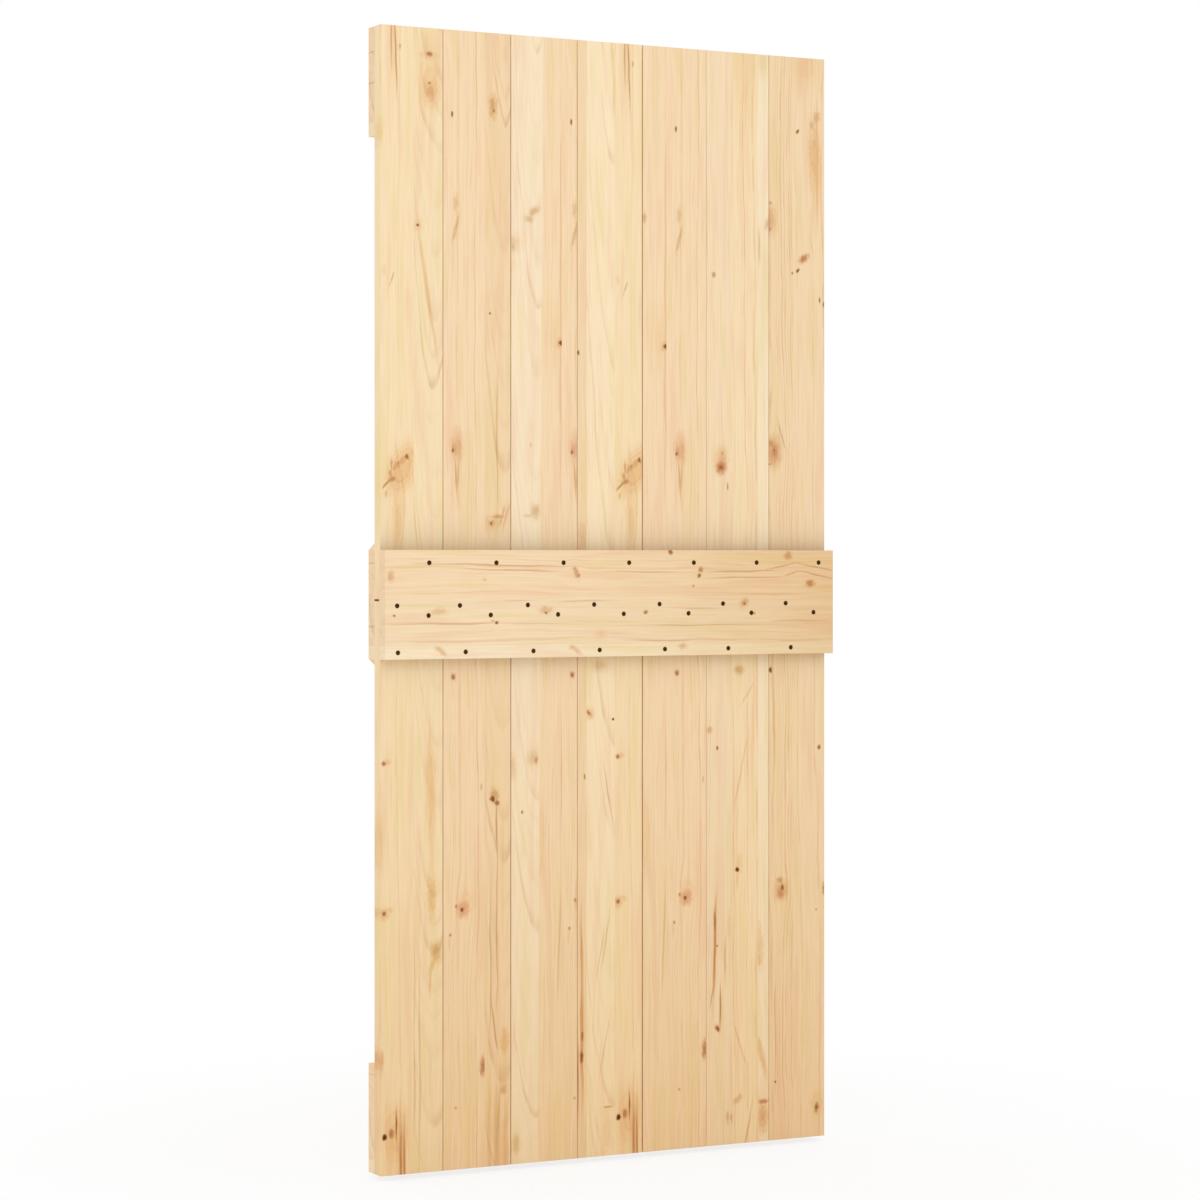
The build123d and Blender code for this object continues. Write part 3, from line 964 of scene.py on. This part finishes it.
def mark_layers(w, place, wavy, along, fibre, marks):
    """The strongest glow, brown and dark of some marks, and the sum of the bends round them.

    Knots are read at their place, and streaks at the wavy place that follows the grain.
    """
    layers = (0.0, 0.0, 0.0)
    bend = 0.0
    for mark in marks:
        thin = mark.half_along > STREAK_RATIO * mark.half_across
        upright = wavy if thin else place
        middle = mark.across
        if mark.slant:
            upright = w.vectors("MULTIPLY_ADD", along, (-mark.slant, 0.0, 0.0), upright)
            middle = mark.across - mark.slant * mark.along
        fit = {
            "Place": upright,
            "Scale": (1 / mark.half_across, 1 / mark.half_along, 0.0),
            "Shift": (-middle / mark.half_across, -mark.along / mark.half_along, 0.0),
        }
        edge = {
            "Strength": (mark.glow, mark.brown, mark.dark),
            "Wobble": fibre["Strand" if thin else "Wobble"],
            "Raggedness": RAGGEDNESS * min(1.0, RAGGED_WIDTH / mark.half_across),
        }
        out = w.group(shared("Grain Mark"), {**fit, **edge})
        layers = w.vectors("MAXIMUM", out["Layers"], layers)
        if mark.eye:
            push = EYE_PUSH * mark.eye * mark.half_across
            bend = w.math("ADD", w.group(shared("Ring Eye"), {**fit, "Push": push})["Bend"], bend)
    return layers, bend


def pine_material(name, look, lie, strips, warm=None, ledge=None):
    """Planed knotty pine for one piece, glued up from its strips."""
    material, w, shader = fresh_material(name)
    point = w.node("ShaderNodeTexCoord").outputs
    along = reading(w, point["Object"], lie.along, lie.start)
    across = reading(w, point["Object"], lie.across, lie.start)
    deep = reading(w, point["Object"], (0, 1, 0), (0, 0, 0))

    # What sets each strip apart, at the shaded point
    past = []
    for strip in strips[1:]:
        beside = w.math("MULTIPLY_ADD", along, -strip.skew, across) if strip.skew else across
        past.append(w.math("GREATER_THAN", beside, strip.start + strip.trim))
    tint = opaque(getattr(look, strips[0].tint))
    figures = [
        (
            strip.start, strip.pith_across, strip.pith_deep, strip.lean, strip.ring,
            strip.contrast * look.ring_contrast, strip.cut,
        )
        for strip in strips
    ]
    figure = figures[0]
    for reached, strip, before, after in zip(past, strips[1:], figures, figures[1:]):
        tint = w.mix(reached, tint, opaque(getattr(look, strip.tint)))
        figure = [
            w.math("MULTIPLY_ADD", reached, new - old, so_far)
            for new, old, so_far in zip(after, before, figure)
        ]
    start, pith_across, pith_deep, lean, ring, contrast, cut = figure

    inside = w.math("SUBTRACT", across, start)
    fibre = w.group(shared("Pine Fibre"), {"Across": inside, "Deep": deep, "Along": along, "Cut": cut})
    place = w.vector(inside, along, 0.0)
    wavy = w.vectors("ADD", place, w.vector(w.about(fibre["Ripple"], STREAK_SWING), 0.0, 0.0))
    layers, bend = mark_layers(w, place, wavy, along, fibre, strips[0].marks)
    for reached, strip in zip(past, strips[1:]):
        own_layers, own_bend = mark_layers(w, place, wavy, along, fibre, strip.marks)
        layers = w.mix(reached, layers, own_layers, "VECTOR")
        bend = w.mix(reached, bend, own_bend, "FLOAT")
    rings = w.group(
        shared("Year Rings"),
        {
            "Across": inside, "Deep": deep, "Along": along, "Bend": bend, "Waver": fibre["Waver"],
            "Ripple": fibre["Ripple"], "Pith Across": pith_across, "Pith Deep": pith_deep, "Lean": lean,
            "Ring": ring, "Cut": cut,
        },
    )
    facing = w.math("ABSOLUTE", w.vectors("DOT_PRODUCT", point["Normal"], lie.along))
    warmth = 0.0
    if warm:
        near = w.step(along, warm.full, warm.none, 1.0, 0.0, kind="LINEAR")
        warmth = w.math("MULTIPLY", w.math("POWER", near, WARMTH_FADE), warm.strength)
    # Painted shade beside the back rail, in place of its soft shadow
    dust = 0.0
    if ledge:
        edges = {"Low": ledge.low, "High": ledge.high, "Face": ledge.face, "Reach": ledge.reach}
        dust = w.group(shared("Ledge Dust"), {"Along": along, "Deep": deep, **edges})["Dust"]
    pine = w.group(
        shared("Planed Pine"),
        {
            "Tint": tint,
            **{f"{stain} Tint": opaque(getattr(look, stain.lower())) for stain in STAINS},
            "Mark Layers": layers,
            "Latewood": w.math("MULTIPLY", rings["Latewood"], contrast),
            "Yellow": fibre["Yellow"],
            "Rose": fibre["Rose"],
            "Fibre": fibre["Fibre"],
            "Warmth": warmth,
            "Dust": dust,
            "End Grain": w.step(facing, END_GRAIN_FROM, END_GRAIN_FULL),
            "Band Contrast": look.band_contrast,
            "Roughness": look.roughness,
        },
    )
    w.feed(shader.inputs["Base Color"], pine["Colour"])
    w.feed(shader.inputs["Roughness"], pine["Roughness"])
    shader.inputs["Specular IOR Level"].default_value = look.gloss
    raise_grain(w, shader, fibre["Fibre"], look.relief)
    return material


def raise_grain(w, shader, height, depth):
    """Give a shader a fine relief of this height pattern and depth."""
    relief = w.node("ShaderNodeBump")
    relief.inputs["Strength"].default_value = RELIEF_STRENGTH
    relief.inputs["Distance"].default_value = depth
    w.feed(relief.inputs["Height"], height)
    w.feed(shader.inputs["Normal"], relief.outputs["Normal"])


def screw_material(name, look):
    """Dark brown coated steel, thinned in places."""
    # Where in the cloudy noise the coating turns from whole to worn, in its colour and in its roughness
    whole_colour, worn_colour = 0.55, 0.75
    whole_rough, worn_rough = 0.3, 0.8
    material, w, shader = fresh_material(name)
    place = w.node("ShaderNodeTexCoord").outputs["Object"]
    cloud = w.noise(w.vectors("MULTIPLY", place, (MM, MM, MM)), 3.0, 0.6)
    worn = w.step(cloud, whole_colour, worn_colour)
    w.feed(shader.inputs["Base Color"], w.mix(worn, opaque(look.coat), opaque(look.worn)))
    rough = w.step(cloud, whole_rough, worn_rough, look.roughness, look.worn_roughness)
    w.feed(shader.inputs["Roughness"], rough)
    shader.inputs["Specular IOR Level"].default_value = look.gloss
    raise_grain(w, shader, cloud, look.relief)
    return material


def dress(node, material):
    """Give a node's object this material alone."""
    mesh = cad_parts[node].data
    mesh.materials.clear()
    mesh.materials.append(material)


def strewn(strips, name, length, width, count):
    """The same strips with other knots, scattered over a hidden face the same way on every run.

    Each knot has a heart, a warm halo and a streak that runs past it with the grain.
    """
    # Shares of a strip's width, and of each knot's own stretch of its length, that the knots keep to
    inner_width, inner_stretch = (0.12, 0.88), (0.1, 0.9)
    # A heart's height for its width, its brown, and its dark, where less than none is none
    heart_height, heart_brown, heart_dark = (1.0, 1.5), (0.4, 1.0), (-0.3, 1.0)
    # A halo's width and height for those of its heart, and its glow
    halo_width, halo_height, halo_glow = 2.0, 2.6, (0.3, 0.6)
    # How far off a streak runs, in half widths of its knot, and its share of reach past the knot
    streak_off, streak_past = (2.0, 4.0), 0.6
    chance = random.Random(name)
    made = []
    for strip, end in zip(strips, [strip.start for strip in strips[1:]] + [width]):
        marks = []
        for step in range(count):
            across = chance.uniform(*inner_width) * (end - strip.start)
            along = (step + chance.uniform(*inner_stretch)) * length / count
            size = chance.triangular(*FRONT_KNOT_SIZES)
            tall = size * chance.uniform(*heart_height)
            dark = max(0.0, chance.uniform(*heart_dark))
            beside = across + chance.choice((-1, 1)) * chance.uniform(*streak_off) * size
            reach = chance.uniform(*FRONT_STREAK_REACH)
            low, high = along - reach, along + streak_past * reach
            marks += [
                Mark(across, along, size, tall, 0.3, chance.uniform(*heart_brown), dark, eye=0.8),
                Mark(across, along, halo_width * size, halo_height * tall, chance.uniform(*halo_glow)),
                streak(beside, low, high, FRONT_STREAK_WIDTH, glow=0.1, brown=0.15, dark=0.2),
            ]
        made.append(strip._replace(marks=marks, contrast=strip.contrast + FRONT_RING_BOOST))
    return made


def level_lie(node):
    """The lie of a level rail: grain along its length, measured from its lower left corner."""
    return Lie(along=(1, 0, 0), across=(0, 0, 1), start=tuple(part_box(node)[0]))


def brace_lie(node, upward):
    """The lie of a slanting brace, with its grain along its long edges, and its length and width."""
    low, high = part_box(node)
    level = low.z if upward > 0 else high.z
    points = [point.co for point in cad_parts[node].data.vertices]
    end_cut = max(point.x for point in points if abs(point.z - level) < 0.001) - low.x
    span, rise = high.x - low.x - end_cut, high.z - low.z
    length = math.hypot(span, rise)
    along = (span / length, 0, upward * rise / length)
    across = (rise / length, 0, -upward * span / length)
    return Lie(along, across, (low.x, 0, level)), MM * length, MM * end_cut * rise / length


class DOOR_OT_dress_boards(Operator):
    """Dress the seven upright boards in knotty pine, with painted shade beside the back rail"""

    bl_idname = "pine_door.dress_boards"
    bl_label = "Dress Boards"

    def execute(self, context):
        look = context.scene.door_pine
        corner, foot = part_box("board_1")[0], CAD_LOW.z
        lie = Lie(along=(0, 0, 1), across=(1, 0, 0), start=(corner.x, 0, foot))
        rail_low, rail_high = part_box("back_mid_rail")
        # Where the painted shade lies beside the back rail, and how far it reaches
        ledge = Ledge(
            low=MM * (rail_low.z - foot),
            high=MM * (rail_high.z - foot),
            face=MM * corner.y + SHADING_DEPTH,
            reach=MM * look.shading_reach,
        )
        height = MM * (CAD_HIGH.z - foot)
        warm = Warm(full=0.0, none=look.foot_reach * height, strength=look.foot_warmth)
        for node in BOARD_NODES:
            dress(node, pine_material(f"pine_{node}", look, lie, BOARD_STRIPS[node], warm, ledge))
        return {"FINISHED"}


class DOOR_OT_dress_back_rail(Operator):
    """Dress the rail across the back"""

    bl_idname = "pine_door.dress_back_rail"
    bl_label = "Dress Back Rail"

    def execute(self, context):
        look = context.scene.door_pine
        node = "back_mid_rail"
        low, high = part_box(node)
        length = MM * (high.x - low.x)
        warm = Warm(full=length, none=(1.0 - look.end_reach) * length, strength=look.end_warmth)
        dress(node, pine_material(f"pine_{node}", look, level_lie(node), BACK_RAIL_STRIPS, warm))
        return {"FINISHED"}


class DOOR_OT_dress_front_rails(Operator):
    """Dress the three level rails on the front"""

    bl_idname = "pine_door.dress_front_rails"
    bl_label = "Dress Front Rails"

    def execute(self, context):
        for node in FRONT_RAIL_NODES:
            low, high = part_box(node)
            length, width = MM * (high.x - low.x), MM * (high.z - low.z)
            strips = strewn(BACK_RAIL_STRIPS, node, length, width, RAIL_KNOTS)
            dress(node, pine_material(f"pine_{node}", context.scene.door_pine, level_lie(node), strips))
        return {"FINISHED"}


class DOOR_OT_dress_braces(Operator):
    """Dress the two slanting braces on the front, grain along their length"""

    bl_idname = "pine_door.dress_braces"
    bl_label = "Dress Braces"

    def execute(self, context):
        for node, upward in zip(BRACE_NODES, (1, -1)):
            lie, length, width = brace_lie(node, upward)
            strips = strewn(BRACE_STRIPS, node, length, width, BRACE_KNOTS)
            dress(node, pine_material(f"pine_{node}", context.scene.door_pine, lie, strips))
        return {"FINISHED"}


class DOOR_OT_dress_screws(Operator):
    """Dress the sunk screws of the back rail"""

    bl_idname = "pine_door.dress_screws"
    bl_label = "Dress Screws"

    def execute(self, context):
        material = screw_material("dark_screw_steel", context.scene.door_screws)
        for node in SCREW_NODES:
            dress(node, material)
        return {"FINISHED"}


def seen_directly(w):
    """1 for rays from the camera, from gloss and through glass, and 0 for the rest."""
    ray = w.node("ShaderNodeLightPath").outputs
    seen = w.math("MAXIMUM", ray["Is Camera Ray"], ray["Is Glossy Ray"])
    return w.math("MAXIMUM", seen, ray["Is Transmission Ray"])


def floor_material(look):
    """A pale floor that shows almost white and keeps a faint shadow."""
    material, w, shader = fresh_material("studio_floor")
    shader.inputs["Base Color"].default_value = opaque(look.floor)
    shader.inputs["Roughness"].default_value = 0.9
    shader.inputs["Specular IOR Level"].default_value = 0.1
    white = w.node("ShaderNodeEmission")
    blend = w.node("ShaderNodeMixShader")
    place = w.node("ShaderNodeTexCoord").outputs["Object"]
    # Metres from the leaf's middle over which the floor's shade gives way to white
    shade_start, shade_end = 0.6, 1.8
    off = w.vectors("LENGTH", w.vectors("MULTIPLY", place, (1.0, 1.0, 0.0)))
    whiteness = w.step(off, shade_start, shade_end, 1.0 - look.floor_shade, 1.0)
    w.feed(blend.inputs[0], w.math("MULTIPLY", seen_directly(w), whiteness))
    w.feed(blend.inputs[1], shader.outputs[0])
    w.feed(blend.inputs[2], white.outputs[0])
    w.feed(material.node_tree.nodes["Material Output"].inputs["Surface"], blend.outputs[0])
    return material


def make_floor(look):
    """A wide square floor under the hung leaf."""
    half = look.floor_width / 2
    level = CAD_LOW.z - look.floor_gap
    mesh = bpy.data.meshes.new("floor")
    corners = [(-half, -half, level), (half, -half, level), (half, half, level), (-half, half, level)]
    mesh.from_pydata(corners, [], [(0, 1, 2, 3)])
    mesh.materials.append(floor_material(look))
    floor = bpy.data.objects.new("floor", mesh)
    bpy.context.scene.collection.objects.link(floor)


def make_dome(look):
    """A white dome that lights the leaf evenly and shows as white."""
    world = bpy.data.worlds.new("white_dome")
    world.use_nodes = True
    w = Wiring(world.node_tree)
    background = world.node_tree.nodes["Background"]
    background.inputs["Color"].default_value = (1.0, 1.0, 1.0, 1.0)
    lit = w.math("MULTIPLY_ADD", seen_directly(w), 1.0 - look.dome, look.dome)
    w.feed(background.inputs["Strength"], lit)
    bpy.context.scene.world = world


def make_key(look):
    """One large soft lamp, high on the left of the seen side."""
    lamp = bpy.data.lights.new("key", "AREA")
    lamp.shape = "DISK"
    lamp.size = look.key_width
    lamp.energy = look.key
    key = bpy.data.objects.new("key", lamp)
    key.location = look.key_place
    aim = (CAD_LOW + CAD_HIGH) / 2 - key.location
    key.rotation_euler = aim.to_track_quat("-Z", "Y").to_euler()
    bpy.context.scene.collection.objects.link(key)


def make_camera(look):
    """A level camera with a little lens shift, so that upright edges stay upright."""
    data = bpy.data.cameras.new("view")
    data.sensor_width = look.sensor
    data.lens = look.lens
    data.shift_y = look.rise
    camera = bpy.data.objects.new("view", data)
    camera.location = (-look.view_side, -look.view_back, CAD_LOW.z + look.view_height)
    camera.rotation_euler = (math.pi / 2, 0.0, -look.yaw)
    bpy.context.scene.collection.objects.link(camera)
    bpy.context.scene.camera = camera


class DOOR_OT_set_stage(Operator):
    """Set the pale floor, the white dome, the soft key light and the camera"""

    bl_idname = "pine_door.set_stage"
    bl_label = "Set Stage"

    def execute(self, context):
        look = context.scene.door_studio
        make_floor(look)
        make_dome(look)
        make_key(look)
        make_camera(look)
        context.scene.view_settings.view_transform = "Standard"
        return {"FINISHED"}


OPERATORS = (
    DOOR_OT_dress_boards,
    DOOR_OT_dress_back_rail,
    DOOR_OT_dress_front_rails,
    DOOR_OT_dress_braces,
    DOOR_OT_dress_screws,
    DOOR_OT_set_stage,
)


class DOOR_PT_leaf(Panel):
    """Dresses the pieces of the door leaf and sets its stage, with the settings for both"""

    bl_idname = "DOOR_PT_leaf"
    bl_label = "Pine Door"
    bl_space_type = "VIEW_3D"
    bl_region_type = "UI"
    bl_category = "Pine Door"

    def draw(self, context):
        column = self.layout.column()
        for operator in OPERATORS:
            column.operator(operator.bl_idname)
        for look in (context.scene.door_pine, context.scene.door_screws, context.scene.door_studio):
            for name in look.__annotations__:
                column.prop(look, name)


CLASSES = (PineLook, ScrewLook, StudioLook, *OPERATORS, DOOR_PT_leaf)


def register():
    """Add the classes and hang the settings on the scene."""
    for item in CLASSES:
        bpy.utils.register_class(item)
    bpy.types.Scene.door_pine = PointerProperty(type=PineLook)
    bpy.types.Scene.door_screws = PointerProperty(type=ScrewLook)
    bpy.types.Scene.door_studio = PointerProperty(type=StudioLook)


def unregister():
    """Take the settings off the scene and remove the classes."""
    del bpy.types.Scene.door_studio
    del bpy.types.Scene.door_screws
    del bpy.types.Scene.door_pine
    for item in reversed(CLASSES):
        bpy.utils.unregister_class(item)


def main():
    """Dress every piece and set the stage."""
    register()
    bpy.ops.pine_door.dress_boards()
    bpy.ops.pine_door.dress_back_rail()
    bpy.ops.pine_door.dress_front_rails()
    bpy.ops.pine_door.dress_braces()
    bpy.ops.pine_door.dress_screws()
    bpy.ops.pine_door.set_stage()


if __name__ == "__main__":
    main()
